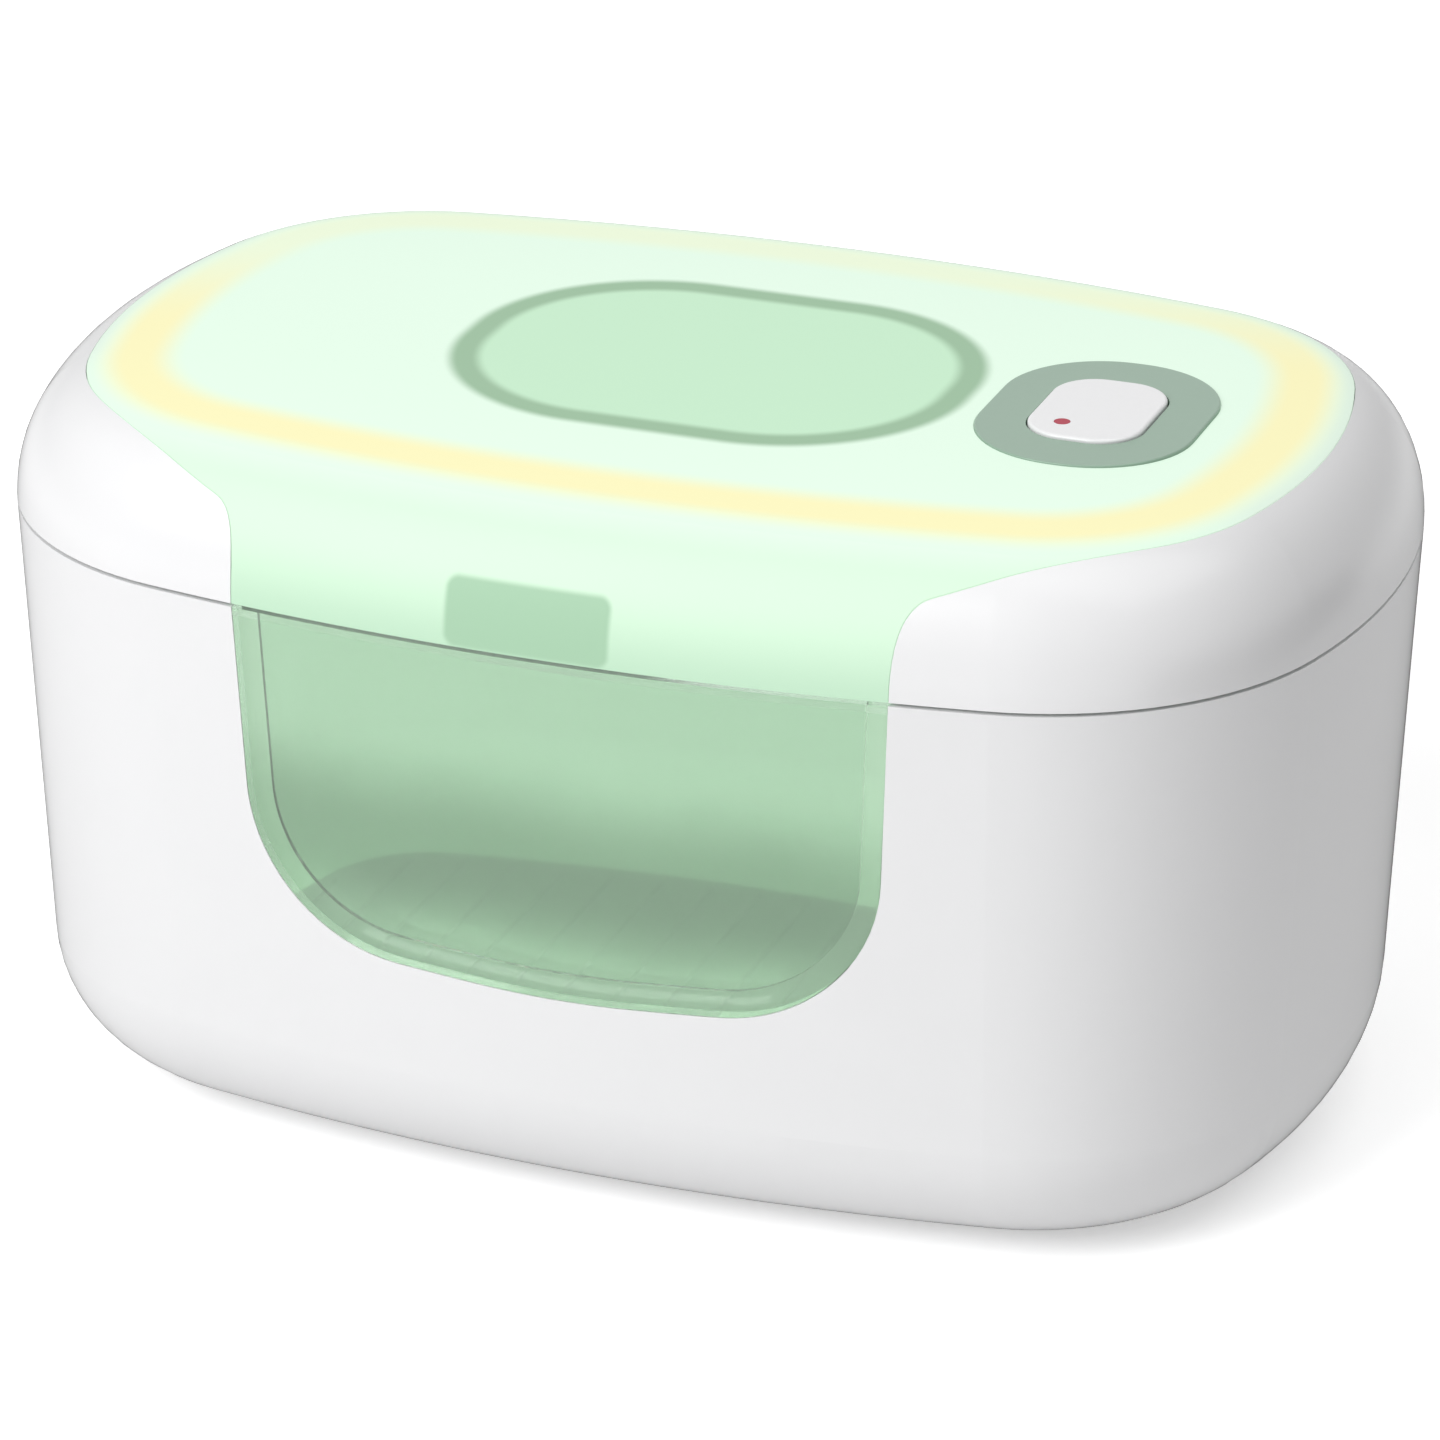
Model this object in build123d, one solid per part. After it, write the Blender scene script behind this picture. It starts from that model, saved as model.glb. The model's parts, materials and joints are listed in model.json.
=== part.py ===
from build123d import *
import math
import os

# A baby wipe warmer: a rounded tub with a window in front and a hinged lid that
# warms the wipes from above.  Millimetres, +Z up, standing on its feet at Z = 0,
# front towards -Y.  Walls are drawn as sections in (inset from the widest outline,
# height) and run round the plan outline, which is eight tangent arcs.

# Plan outline at its widest, where lid and base meet
body_length = 230.0
body_depth = 150.6
front_arc_radius = 411.0
end_arc_radius = 121.6
corner_arc_radius = 51.2
core_inset = 45.0  # rings run this far in, and a flat core fills the rest
quarter_turn = 90
half_turn = 180

# Heights
foot_proud = 1.5
base_height = 98.4
lid_height = 22.5
crown_height = 0.95

# Clearances
fit_gap = 0.3
glue_gap = 0.1
seam_gap = 0.6
groove_gap = 0.15
pin_gap = 0.05
overrun = 1.0  # how far a cutting shape runs past the face that it opens
point_tolerance = 0.03

# Outer case
case_wall = 2.4
case_draft = 4.1
case_edge_radius = 21.9
ledge_depth = 2.6
ledge_height = 2.0

# Window in the front of the case
window_half_width = 54.8
window_foot_half_width = 52.6
window_sill = 44.0
window_sag = 3.3
window_corner_radius = 28.0
window_sag_radius = 210.0
pane_flange_width = 4.0
pane_flange_thickness = 1.6
window_seal_thickness = 0.8
window_seal_width = 3.0

# Inner tub, its foam sleeve and its floor pad
tub_inset = 8.4
tub_wall = 1.8
tub_edge_radius = 14.0
tub_flange_thickness = 2.5
tub_flange_drop = 0.5
tub_standoff = 0.3
sleeve_thickness = 3.0
sleeve_foot_height = 24.0
pad_thickness = 1.5
pad_rib_height = 0.8
pad_rib_width = 2.5
pad_rib_pitch = 9.0
pad_edge_gap = 3.0

# Rubber feet
foot_radius = 7.0
foot_recess = 1.2
foot_edge = 0.6
foot_end_inset = 49.0
foot_side_inset = 42.3

# Lid skin
shoulder_run = 17.2
lid_wall = 2.4
cover_inset = 12.0
cover_join_radius = 90.0
cover_join_angle = 43.8
cover_notch_radius = 7.5
rebate_outer = 2.0
rebate_inner = 2.2
rebate_thickness = 1.5

# Lid liner, its seal and its screws
liner_inset = 3.2
liner_thickness = 2.0
liner_lift = 0.8
seal_inset = 5.3
seal_width = 3.4
boss_radius = 3.6
boss_inset = 9.4
screw_shank_radius = 1.4
screw_head_radius = 2.8
screw_head_height = 1.6
cross_length = 3.0
cross_width = 0.8
cross_depth = 0.9
screw_length = 9.0
screw_bore_depth = 10.0

# Heater in the lid
heater_length = 78.0
heater_width = 57.6
heater_corner_radius = 24.6
heater_margin = 4.7
heater_to_controls = 3.0
oval_ring_width = 4.7
oval_ring_thickness = 1.0
housing_wall = 1.6
heater_plate_thickness = 1.5
heater_plate_lip = 2.0
heater_film_thickness = 0.4
foam_height = 6.0
sensor_size = (7.0, 4.0, 2.6)
sensor_x = -15.0
fuse_radius = 1.5
fuse_length = 9.0
fuse_x = 14.0

# Night light round the cover
light_inner_inset = 27.0
light_outer_inset = 14.6
light_guide_thickness = 2.0
led_board_inset = 17.0
led_board_width = 7.0
led_board_thickness = 0.8
led_size = (3.5, 2.8, 1.2)
led_spacing = 24.0
led_to_guide = 0.6

# Controls
control_end_inset = 50.0
control_y = -1.0
bezel_width = 35.4
bezel_depth = 46.6
bezel_roundness = 0.96  # share of half its width
bezel_proud = 0.3
bezel_flange = 2.0
bezel_flange_thickness = 1.4
bezel_rim_thickness = 1.6
bezel_edge_round = 0.25
button_width = 18.9
button_depth = 26.6
button_corner_radius = 7.4
button_proud = 0.9
button_edge_round = 0.5
button_cap_thickness = 2.0
button_collar = 1.2
button_collar_thickness = 1.2
button_travel = 0.5
stem_radius = 2.4
lens_radius = 1.3
lens_x = -3.6
lens_y = -7.3
board_thickness = 1.6
board_width = 31.0
board_depth = 42.0
board_drop = 12.0
switch_size = 6.0
switch_height = 3.4
plunger_radius = 1.7
plunger_proud = 0.8
plunger_sunk = 1.0
chip_size = (7.0, 7.0, 1.2)
status_led_size = (1.6, 0.8, 0.8)

# Power inlet in the back of the lid
inlet_width = 9.0
inlet_height = 3.3
inlet_wall = 0.3
inlet_length = 7.4
inlet_lift = 7.5
inlet_tongue_width = 6.2
inlet_tongue_thickness = 0.7
inlet_tongue_length = 5.0
inlet_recess = 0.3
inlet_roundness = 0.98
inlet_board_width = 16.0
inlet_board_length = 13.0
inlet_board_thickness = 1.0

# Hinge
hinge_x = 47.0
hinge_barrel_radius = 3.1
hinge_pin_radius = 1.25
hinge_case_knuckle = 11.0
hinge_lid_knuckle = 6.5
hinge_web = 8.0
hinge_web_lip = 1.0
lid_knuckle_root = 1.8
hinge_axis_behind = 0.1

# Catch
catch_x = -3.4
catch_width = 27.4
catch_height = 11.0
catch_plate_thickness = 1.5
catch_corner_radius = 3.0
magnet_width = 16.0
magnet_height = 3.2
magnet_depth = 3.0
magnet_wall = 1.0
keeper_width = 22.0
keeper_depth = 3.6
keeper_thickness = 1.5
keeper_edge = 1.0

# Places along the outline, as the turn of the arc there
boss_turns = (0, 180, 47.9, -47.9, 132.1, -132.1)
post_turns = (12, -12, 168, -168, 47.9, -47.9, 132.1, -132.1, 84, -84, 96, -96)
post_radius = 2.0
screw_pad_radius = 4.6
screw_pad_height = 1.4

# Inner leads
lead_radius = 0.8
lead_bend_radius = 1.7
lead_pitch = 2.4
lead_start_x = 3.0
lead_end_back = 9.0
lead_cross_inset = 31.3
heater_lead_in = 10.0

# Heights and places that follow from the sizes above
case_bottom = foot_proud
seam_z = case_bottom + base_height
top_z = seam_z + lid_height
crown_z = top_z + crown_height
lid_bottom = seam_z + seam_gap
liner_bottom = seam_z + liner_lift
liner_top = liner_bottom + liner_thickness
half_length = body_length / 2
half_depth = body_depth / 2
cover_under = crown_z - lid_wall - glue_gap
foot_x = half_length - foot_end_inset
foot_y = half_depth - foot_side_inset
control_x = half_length - control_end_inset
bezel_corner_radius = bezel_roundness * bezel_width / 2
control_near = control_x - bezel_width / 2 - heater_to_controls
lens_place = (control_x + lens_x, control_y + lens_y)
oval_reach = heater_length / 2 + heater_margin
oval_x = min(0, control_near - oval_reach)  # centred, or moved over for the controls
lead_cross_y = half_depth - lead_cross_inset
hinge_y = half_depth + hinge_axis_behind
hinge_proud = hinge_axis_behind + hinge_barrel_radius
frame_shift = Location((0, -hinge_proud / 2, 0))  # centres the whole, hinge included


def arc_centres():
    """Centres of the front, end and front-right corner arcs of the plan outline."""
    front = Vector(0, front_arc_radius - half_depth)
    end = Vector(half_length - end_arc_radius, 0)
    to_front = front_arc_radius - corner_arc_radius
    to_end = end_arc_radius - corner_arc_radius
    across = end - front
    along = (to_front**2 - to_end**2 + across.length**2) / (2 * across.length)
    aside = math.sqrt(to_front**2 - along**2)
    unit = across.normalized()
    corner = front + unit * along + Vector(-unit.Y, unit.X) * aside
    return front, end, corner


def bearing(start, end):
    """Direction from one plan point to another, in degrees."""
    return math.degrees(math.atan2(end.Y - start.Y, end.X - start.X))


front_centre, end_centre, corner_centre = arc_centres()
front_turn = bearing(front_centre, corner_centre)
end_turn = bearing(end_centre, corner_centre)


def outline_arcs(inset=0.0):
    """(centre, radius, start angle, swept angle) of the eight arcs, anticlockwise."""
    front, end, corner = front_centre, end_centre, corner_centre
    r_front = front_arc_radius - inset
    r_end = end_arc_radius - inset
    r_corner = corner_arc_radius - inset
    half_front = quarter_turn + front_turn
    corner_sweep = end_turn - front_turn
    right, left = corner.X, -corner.X
    near, far = corner.Y, -corner.Y
    return [
        ((front.X, front.Y), r_front, -quarter_turn - half_front, 2 * half_front),
        ((right, near), r_corner, front_turn, corner_sweep),
        ((end.X, 0), r_end, end_turn, -2 * end_turn),
        ((right, far), r_corner, -end_turn, corner_sweep),
        ((front.X, -front.Y), r_front, quarter_turn - half_front, 2 * half_front),
        ((left, far), r_corner, half_turn + front_turn, corner_sweep),
        ((-end.X, 0), r_end, half_turn + end_turn, -2 * end_turn),
        ((left, near), r_corner, half_turn - end_turn, corner_sweep),
    ]


def outline_face(inset=0.0):
    """The plan outline, drawn in by an inset, as a flat face."""
    edges = [CenterArc(c, r, start, sweep) for c, r, start, sweep in outline_arcs(inset)]
    return make_face(edges)


def plate(inset, low, high):
    """A flat slab with the plan outline."""
    return extrude(Pos(0, 0, low) * outline_face(inset), high - low, dir=(0, 0, 1))


def outline_point(angle, inset):
    """The point of the inset outline, seen from its own arc's centre at an angle."""
    for centre, radius, start, sweep in outline_arcs(inset):
        turn = (angle - start) % 360
        if turn <= sweep:
            a = math.radians(angle)
            return Vector(centre[0] + radius * math.cos(a), centre[1] + radius * math.sin(a))
    raise ValueError("angle is on no arc")


def ring(section):
    """A section in (inset, height) run round the whole plan outline."""
    sectors = []
    for centre, radius, start, sweep in outline_arcs():
        a = math.radians(start)
        outward = Vector(math.cos(a), math.sin(a), 0)
        origin = Vector(*centre, 0) + outward * radius
        place = Plane(origin=origin, x_dir=-outward, z_dir=(-outward).cross(Vector(0, 0, 1)))
        sectors.append(revolve(place * section, Axis((*centre, 0), (0, 0, 1)), sweep))
    return sectors[0] + sectors[1:]


def box(x, y, z):
    """A box from three (low, high) pairs."""
    sizes = [high - low for low, high in (x, y, z)]
    middle = [(high + low) / 2 for low, high in (x, y, z)]
    return Pos(*middle) * Box(*sizes)


def block_on(x, y, base, size):
    """A block of a given size standing on a height, centred on a plan point."""
    return Pos(x, y, base + size[2] / 2) * Box(*size)


def post(x, y, radius, low, high):
    """An upright cylinder between two heights."""
    return Pos(x, y, (low + high) / 2) * Cylinder(radius, high - low)


def rod(x, y, z, radius, length):
    """A cylinder lying along X, centred on a point."""
    return Pos(x, y, z) * Rot(0, 90, 0) * Cylinder(radius, length)


def slab(face, low, high):
    """A plan face drawn up between two heights."""
    return extrude(Pos(0, 0, low) * face, high - low, dir=(0, 0, 1))


def rounded(length, width, radius):
    """A rounded rectangle in plan."""
    return RectangleRounded(length, width, radius)


def one(parts):
    """Fuses a list of shapes into one."""
    return parts[0] + parts[1:]


def section(points, rounds):
    """A closed section through (inset, height) points, each with its corner radius."""
    return make_face(FilletPolyline(points, radius=rounds, close=True))


def band(near, far, low, high):
    """A rectangular section between two insets and two heights."""
    points = [(near, low), (far, low), (far, high), (near, high)]
    return section(points, [0, 0, 0, 0])


def wall_section(depth, thickness):
    """The case wall's section between two depths under its outer face."""
    low = case_bottom + depth
    slope = case_draft / base_height
    outer_low = (depth + case_draft - slope * depth, low)
    inner_low = (outer_low[0] + thickness * (1 - slope), low + thickness)
    outer_round = case_edge_radius - depth
    points = [
        (depth, seam_z),
        outer_low,
        (core_inset, low),
        (core_inset, low + thickness),
        inner_low,
        (depth + thickness, seam_z),
    ]
    return section(points, [0, outer_round, 0, 0, outer_round - thickness, 0])


def case_layer(depth, thickness):
    """A layer of the case, with its floor."""
    low = case_bottom + depth
    return ring(wall_section(depth, thickness)) + plate(core_inset, low, low + thickness)


def lid_curve(depth):
    """The lid's section line at a depth: elliptical shoulder, then a crowned top."""
    across, up = shoulder_run - depth, lid_height - depth
    rise = 2 * crown_height / (core_inset - shoulder_run)
    turn = math.atan2(up, across * rise)
    centre = (shoulder_run, seam_z)
    shoulder = EllipticalCenterArc(centre, across, up, half_turn, arc_size=-math.degrees(turn))
    crown = TangentArc(shoulder @ 1, (core_inset, crown_z - depth), tangent=shoulder % 1)
    return shoulder, crown


def lid_section(depth, thickness, lowest=None):
    """The lid wall's section between two depths, cut off level at the bottom."""
    outer = lid_curve(depth)
    inner = lid_curve(depth + thickness)
    close_core = Line(outer[1] @ 1, inner[1] @ 1)
    close_foot = Line(outer[0] @ 0, inner[0] @ 0)
    whole = make_face([*outer, *inner, close_core, close_foot])
    floor = lid_bottom if lowest is None else lowest
    return whole - band(0, core_inset + overrun, seam_z - overrun, floor)


def lid_layer(depth, thickness):
    """A layer of the lid's skin, with its crowned top."""
    high = crown_z - depth
    return ring(lid_section(depth, thickness)) + plate(core_inset, high - thickness, high)


def lid_inside(depth):
    """Everything in the lid under a depth, down to its lower edge."""
    shoulder, crown = lid_curve(depth)
    foot = Line(shoulder @ 0, (core_inset, seam_z))
    core = Line((core_inset, seam_z), crown @ 1)
    whole = make_face([shoulder, crown, core, foot])
    whole -= band(0, core_inset + overrun, seam_z - overrun, lid_bottom)
    return ring(whole) + plate(core_inset, lid_bottom, crown_z - depth)


def window_face(grow=0.0):
    """The window's outline seen from the front, open at the seam."""
    above = seam_z + corner_arc_radius
    lean = (window_half_width - window_foot_half_width) / (seam_z - window_sill)
    top = window_half_width + lean * (above - seam_z)
    points = [
        (-top, above),
        (-window_foot_half_width, window_sill),
        (0, window_sill - window_sag),
        (window_foot_half_width, window_sill),
        (top, above),
    ]
    corner, sag = window_corner_radius, window_sag_radius
    face = make_face(FilletPolyline(points, radius=[0, corner, sag, corner, 0], close=True))
    return offset(face, grow) if grow else face


def window_cut(grow=0.0):
    """The window's outline driven through the front wall only."""
    start = Plane.XZ.offset(half_depth / 2)
    return extrude(start * window_face(grow), half_depth, dir=(0, -1, 0))


def tongue_prism(grow=0.0):
    """The cover's front tongue, out from the panel's edge, driven up through the lid."""
    turn = cover_join_angle - quarter_turn
    toward = Vector(math.cos(math.radians(turn)), math.sin(math.radians(turn)))
    panel_radius = corner_arc_radius - cover_inset
    join_centre = corner_centre + toward * (panel_radius - cover_join_radius)
    radius = cover_join_radius + grow
    half_width = window_half_width + grow
    notch_turn = -math.degrees(math.acos((half_width - join_centre.X) / radius))
    join = CenterArc((join_centre.X, join_centre.Y), radius, notch_turn, turn - notch_turn)
    front = -2 * half_depth
    inner = corner_centre + toward * (corner_arc_radius - core_inset)
    right = [Line((half_width, front), join @ 0), join, Line(join @ 1, inner)]
    left = [edge.mirror(Plane.YZ) for edge in right]
    foot = Line((-half_width, front), (half_width, front))
    head = Line((-inner.X, inner.Y), (inner.X, inner.Y))
    face = Sketch() + make_face([*right, *left, foot, head])
    notches = [v for v in face.vertices() if abs(v.Y - (join @ 0).Y) < point_tolerance]
    face = fillet(notches, cover_notch_radius - grow)
    return slab(face, seam_z - overrun, crown_z + overrun)


def outside_cover(depth, thickness, grow=0.0):
    """The part of a lid layer that lies outside the cover's edge."""
    strip = lid_section(depth, thickness) & band(0, cover_inset - grow, seam_z, crown_z)
    return ring(strip) - tongue_prism(grow)


def under_cover(depth, thickness, grow=0.0):
    """The part of a lid layer that lies inside the cover's edge, tongue and all."""
    edge = cover_inset - grow
    whole = lid_section(depth, thickness)
    panel = ring(whole & band(edge, core_inset, seam_z, crown_z))
    high = crown_z - depth
    panel += plate(core_inset, high - thickness, high)
    return panel + (ring(whole & band(0, edge, seam_z, crown_z)) & tongue_prism(grow))


def cover_rebate():
    """The shelf under the cover's edge."""
    whole = lid_section(lid_wall, rebate_thickness, liner_top + fit_gap)
    inner, outer = cover_inset + rebate_inner, cover_inset - rebate_outer
    shelf = ring(whole & band(outer, inner, seam_z, crown_z)) - tongue_prism(-rebate_inner)
    sides = ring(whole & band(0, inner, seam_z, crown_z)) & tongue_prism(rebate_outer)
    return shelf + (sides - tongue_prism(-rebate_inner))


def back_wall_y(x):
    """Depth of the back wall's outer face at the seam, at a distance from the middle."""
    return math.sqrt(front_arc_radius**2 - x**2) - front_arc_radius + half_depth


def at_corners(x, y):
    """The four mirrored plan points."""
    return [(sx * x, sy * y) for sx in (-1, 1) for sy in (-1, 1)]


# Heights and places of the base's pieces
case_floor_top = case_bottom + case_wall
tub_bottom = case_floor_top + tub_standoff
tub_floor_top = tub_bottom + tub_wall
flange_top = seam_z - tub_flange_drop
flange_bottom = flange_top - tub_flange_thickness
ledge_top = flange_bottom
axis_z = seam_z + seam_gap / 2
pane_depth = case_wall + window_seal_thickness
pane_back = pane_depth + pane_flange_thickness
pane_margin = pane_flange_width + fit_gap * 2
hinge_width = hinge_case_knuckle + 2 * (fit_gap + hinge_lid_knuckle)
lid_knuckle_step = (hinge_case_knuckle + hinge_lid_knuckle) / 2 + fit_gap
foot_places = at_corners(foot_x, foot_y)


def knuckle(x, width, web_end, root_depth):
    """A hinge barrel with a web that runs into the back wall, up or down."""
    root = back_wall_y(abs(x)) - root_depth
    out = hinge_y + hinge_barrel_radius
    short = math.copysign(hinge_web_lip, web_end)
    points = [(root, 0), (out, 0), (out, short), (root, web_end)]
    web = make_face(Polyline(points, close=True))
    web = extrude(Plane(origin=(x, 0, axis_z), x_dir=(0, 1, 0), z_dir=(1, 0, 0)) * web,
                  width / 2, both=True)
    return rod(x, hinge_y, axis_z, hinge_barrel_radius, width) + web


def knuckle_room(x, width):
    """The scoop that lets the other half's barrel turn."""
    return rod(x, hinge_y, axis_z, hinge_barrel_radius + fit_gap, width + 2 * fit_gap)


def hinge_bore(x):
    """The hole along one hinge for its pin."""
    return rod(x, hinge_y, axis_z, hinge_pin_radius + pin_gap,
               hinge_width + 2 * overrun)


def lid_knuckle_places():
    """Middles of the lid's four barrels."""
    return [side * hinge_x + step for side in (-1, 1)
            for step in (-lid_knuckle_step, lid_knuckle_step)]


def make_outer_case():
    """White case: drafted wall, round bottom edge, window opening, ledge and barrels."""
    case = case_layer(0, case_wall) - window_cut()
    low = ledge_top - ledge_height
    shelf = band(case_wall - glue_gap, case_wall + ledge_depth, low, ledge_top)
    case += ring(shelf) - window_cut(pane_margin)
    for x, y in foot_places:
        case -= post(x, y, foot_radius + glue_gap, 0, case_bottom + foot_recess)
    for side in (-1, 1):
        case += knuckle(side * hinge_x, hinge_case_knuckle, -hinge_web, case_wall / 2)
        case -= hinge_bore(side * hinge_x)
    for x in lid_knuckle_places():
        case -= knuckle_room(x, hinge_lid_knuckle)
    return case


def make_window_pane():
    """Green clear pane, flush with the case, with a thinner middle and a glued flange."""
    body = case_layer(0, pane_back) & window_cut(-groove_gap)
    body -= case_layer(case_wall, pane_back) & window_cut(-pane_flange_width)
    flange = case_layer(pane_depth, pane_flange_thickness) & window_cut(pane_flange_width)
    return body + flange


def make_window_seal():
    """Thin seal between the case and the pane's flange."""
    layer = case_layer(case_wall, window_seal_thickness)
    return layer & (window_cut(window_seal_width) - window_cut(fit_gap))


def make_inner_tub():
    """Lift-out tub: flange on the case's ledge, drafted wall, round floor edge."""
    foot = tub_inset + case_draft
    points = [
        (case_wall + fit_gap, flange_bottom),
        (tub_inset, flange_bottom),
        (foot, tub_bottom),
        (core_inset, tub_bottom),
        (core_inset, tub_floor_top),
        (foot + tub_wall, tub_floor_top),
        (tub_inset + tub_wall, flange_top),
        (case_wall + fit_gap, flange_top),
    ]
    rounds = [0, 0, tub_edge_radius, 0, 0, tub_edge_radius - tub_wall, 0, 0]
    tub = ring(section(points, rounds)) + plate(core_inset, tub_bottom, tub_floor_top)
    rim = ring(band(0, pane_back + fit_gap, flange_bottom - overrun, flange_top + overrun))
    tub -= rim & window_cut(pane_margin)
    return tub - keeper_block(glue_gap)


def keeper_block(grow=0.0):
    """The steel keeper's block in the tub's front flange, grown by an amount."""
    middle = pane_back + fit_gap + keeper_edge + keeper_depth / 2 - half_depth
    size = (keeper_width + 2 * grow, keeper_depth + 2 * grow, keeper_thickness + grow)
    return block_on(catch_x, middle, flange_top - keeper_thickness, size)


def make_catch_keeper():
    """Steel strip that the lid's magnet pulls on."""
    return keeper_block()


def make_insulation_sleeve():
    """Foam sleeve round the tub, cut away behind the window."""
    slope = case_draft / base_height
    near = tub_inset - fit_gap - sleeve_thickness
    high = ledge_top - ledge_height - fit_gap
    lean_high = slope * (seam_z - high)
    lean_low = slope * (seam_z - sleeve_foot_height)
    points = [
        (near + lean_high, high),
        (near + lean_low, sleeve_foot_height),
        (near + sleeve_thickness + lean_low, sleeve_foot_height),
        (near + sleeve_thickness + lean_high, high),
    ]
    return ring(section(points, [0, 0, 0, 0])) - window_cut(pane_margin + fit_gap)


def make_floor_pad():
    """Ribbed soft pad on the tub's floor."""
    inset = tub_inset + case_draft + tub_edge_radius + pad_edge_gap
    outline = outline_face(inset)
    pad = slab(outline, tub_floor_top, tub_floor_top + pad_thickness)
    size = outline.bounding_box().size
    count = int(size.X / 2 / pad_rib_pitch)
    low = tub_floor_top + pad_thickness
    area = slab(outline_face(inset + pad_edge_gap), low, low + pad_rib_height)
    ribs = [block_on(i * pad_rib_pitch, 0, low, (pad_rib_width, size.Y, pad_rib_height))
            for i in range(-count, count + 1)]
    return pad + (area & one(ribs))


def make_rubber_feet():
    """Four round feet set in the case's floor."""
    feet = []
    for x, y in foot_places:
        foot = post(x, y, foot_radius, 0, case_bottom + foot_recess)
        feet.append(chamfer(foot.edges().group_by(Axis.Z)[0], foot_edge))
    return one(feet)


def make_hinge_pins():
    """Two steel pins."""
    return one([rod(side * hinge_x, hinge_y, axis_z, hinge_pin_radius, hinge_width)
                for side in (-1, 1)])


# Heights and places of the lid's pieces
liner_pad_top = liner_top + screw_pad_height
guide_top_depth = lid_wall + fit_gap
guide_under = top_z - guide_top_depth - light_guide_thickness
led_top = guide_under - led_to_guide
led_board_top = led_top - led_size[2]
led_board_bottom = led_board_top - led_board_thickness
ring_top = cover_under - fit_gap
housing_top = ring_top - oval_ring_thickness
housing_roof = housing_top - housing_wall
plate_top = liner_top + heater_plate_thickness
film_top = plate_top + heater_film_thickness
board_top = crown_z - board_drop
board_bottom = board_top - board_thickness
button_top = crown_z + button_proud
bezel_top = crown_z + bezel_proud
rim_under = bezel_top - bezel_rim_thickness
bezel_seat = top_z - lid_wall
bezel_bottom = bezel_seat - bezel_flange_thickness
collar_top = rim_under - fit_gap
collar_bottom = collar_top - button_collar_thickness
switch_top = board_top + switch_height
plunger_top = switch_top + plunger_proud
inlet_z = seam_z + inlet_lift
inlet_mouth_y = half_depth - shoulder_run * (1 - math.sqrt(1 - (inlet_lift / lid_height) ** 2))
inlet_board_top = inlet_z - inlet_height / 2
inlet_board_bottom = inlet_board_top - inlet_board_thickness
inlet_board_back_y = inlet_mouth_y - lid_wall
inlet_board_y = inlet_board_back_y - inlet_board_length / 2
boss_places = [outline_point(turn, boss_inset) for turn in boss_turns]
post_places = [outline_point(turn, led_board_inset + led_board_width / 2) for turn in post_turns]


def oval(grow=0.0):
    """The heater plate's oval in plan, grown by an amount."""
    face = rounded(heater_length + 2 * grow, heater_width + 2 * grow, heater_corner_radius + grow)
    return Pos(oval_x, 0) * face


def make_lid_shell():
    """White shoulder band with a rebate for the cover, screw bosses and barrels."""
    shell = outside_cover(0, lid_wall) + cover_rebate()
    bosses = [post(p.X, p.Y, boss_radius, liner_pad_top, crown_z) for p in boss_places]
    shell += one(bosses) & lid_inside(lid_wall)
    bore = screw_shank_radius + pin_gap
    for p in boss_places:
        shell -= post(p.X, p.Y, bore, liner_pad_top - overrun, liner_pad_top + screw_bore_depth)
    for x in lid_knuckle_places():
        shell += knuckle(x, hinge_lid_knuckle, hinge_web, lid_knuckle_root)
    for side in (-1, 1):
        shell -= hinge_bore(side * hinge_x)
        shell -= knuckle_room(side * hinge_x, hinge_case_knuckle)
    size = inlet_width + 2 * groove_gap, inlet_height + 2 * groove_gap
    mouth = Plane(origin=(0, half_depth, inlet_z), x_dir=(1, 0, 0), z_dir=(0, -1, 0))
    hole = extrude(mouth * RectangleRounded(*size, inlet_height / 2), inlet_length, both=True)
    return shell - hole


def make_top_cover():
    """Clear mint cover: top panel and front tongue, with the bezel's opening."""
    cover = under_cover(0, lid_wall - glue_gap, -groove_gap)
    radius = bezel_corner_radius + groove_gap
    opening = rounded(bezel_width + 2 * groove_gap, bezel_depth + 2 * groove_gap, radius)
    return cover - slab(Pos(control_x, control_y) * opening, cover_under - overrun, crown_z + overrun)


def make_oval_ring():
    """Soft dark ring between the heater's housing and the cover."""
    face = oval(heater_margin) - oval(heater_margin - oval_ring_width)
    return slab(face, housing_top, ring_top)


def make_heater_housing():
    """Oval cup over the heater, standing on the liner."""
    cup = slab(oval(heater_margin), liner_top, housing_top)
    cup -= slab(oval(heater_margin - housing_wall), liner_top - overrun, housing_roof)
    lead_room = lead_radius + fit_gap
    middle = lead_pitch / 2
    edge = oval_x + oval_reach
    reach = (edge - 2 * housing_wall, edge + overrun)
    level = board_top - board_thickness / 2
    return cup - box(reach, (-middle - lead_room, middle + lead_room),
                     (level - lead_room, level + lead_room))


def make_heater_plate():
    """Aluminium plate that faces the wipes."""
    return slab(oval(), liner_top, plate_top)


def make_heater_film():
    """Thin heating film on the plate."""
    return slab(oval(-heater_plate_lip), plate_top, film_top)


def make_heater_foam():
    """Foam block that keeps the heat down."""
    face = oval(heater_margin - housing_wall - fit_gap)
    return slab(face, housing_roof - foam_height, housing_roof)


def make_temperature_sensor():
    """Sensor bead block on the film."""
    return block_on(oval_x + sensor_x, 0, film_top, sensor_size)


def make_thermal_fuse():
    """Thermal cut-out lying on the film."""
    return rod(oval_x + fuse_x, 0, film_top + fuse_radius, fuse_radius, fuse_length)


def make_light_guide():
    """Milky ring under the cover's edge that spreads the night light."""
    strip = lid_section(guide_top_depth, light_guide_thickness)
    span = band(light_outer_inset, light_inner_inset, seam_z, crown_z)
    return ring(strip & span)


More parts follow.
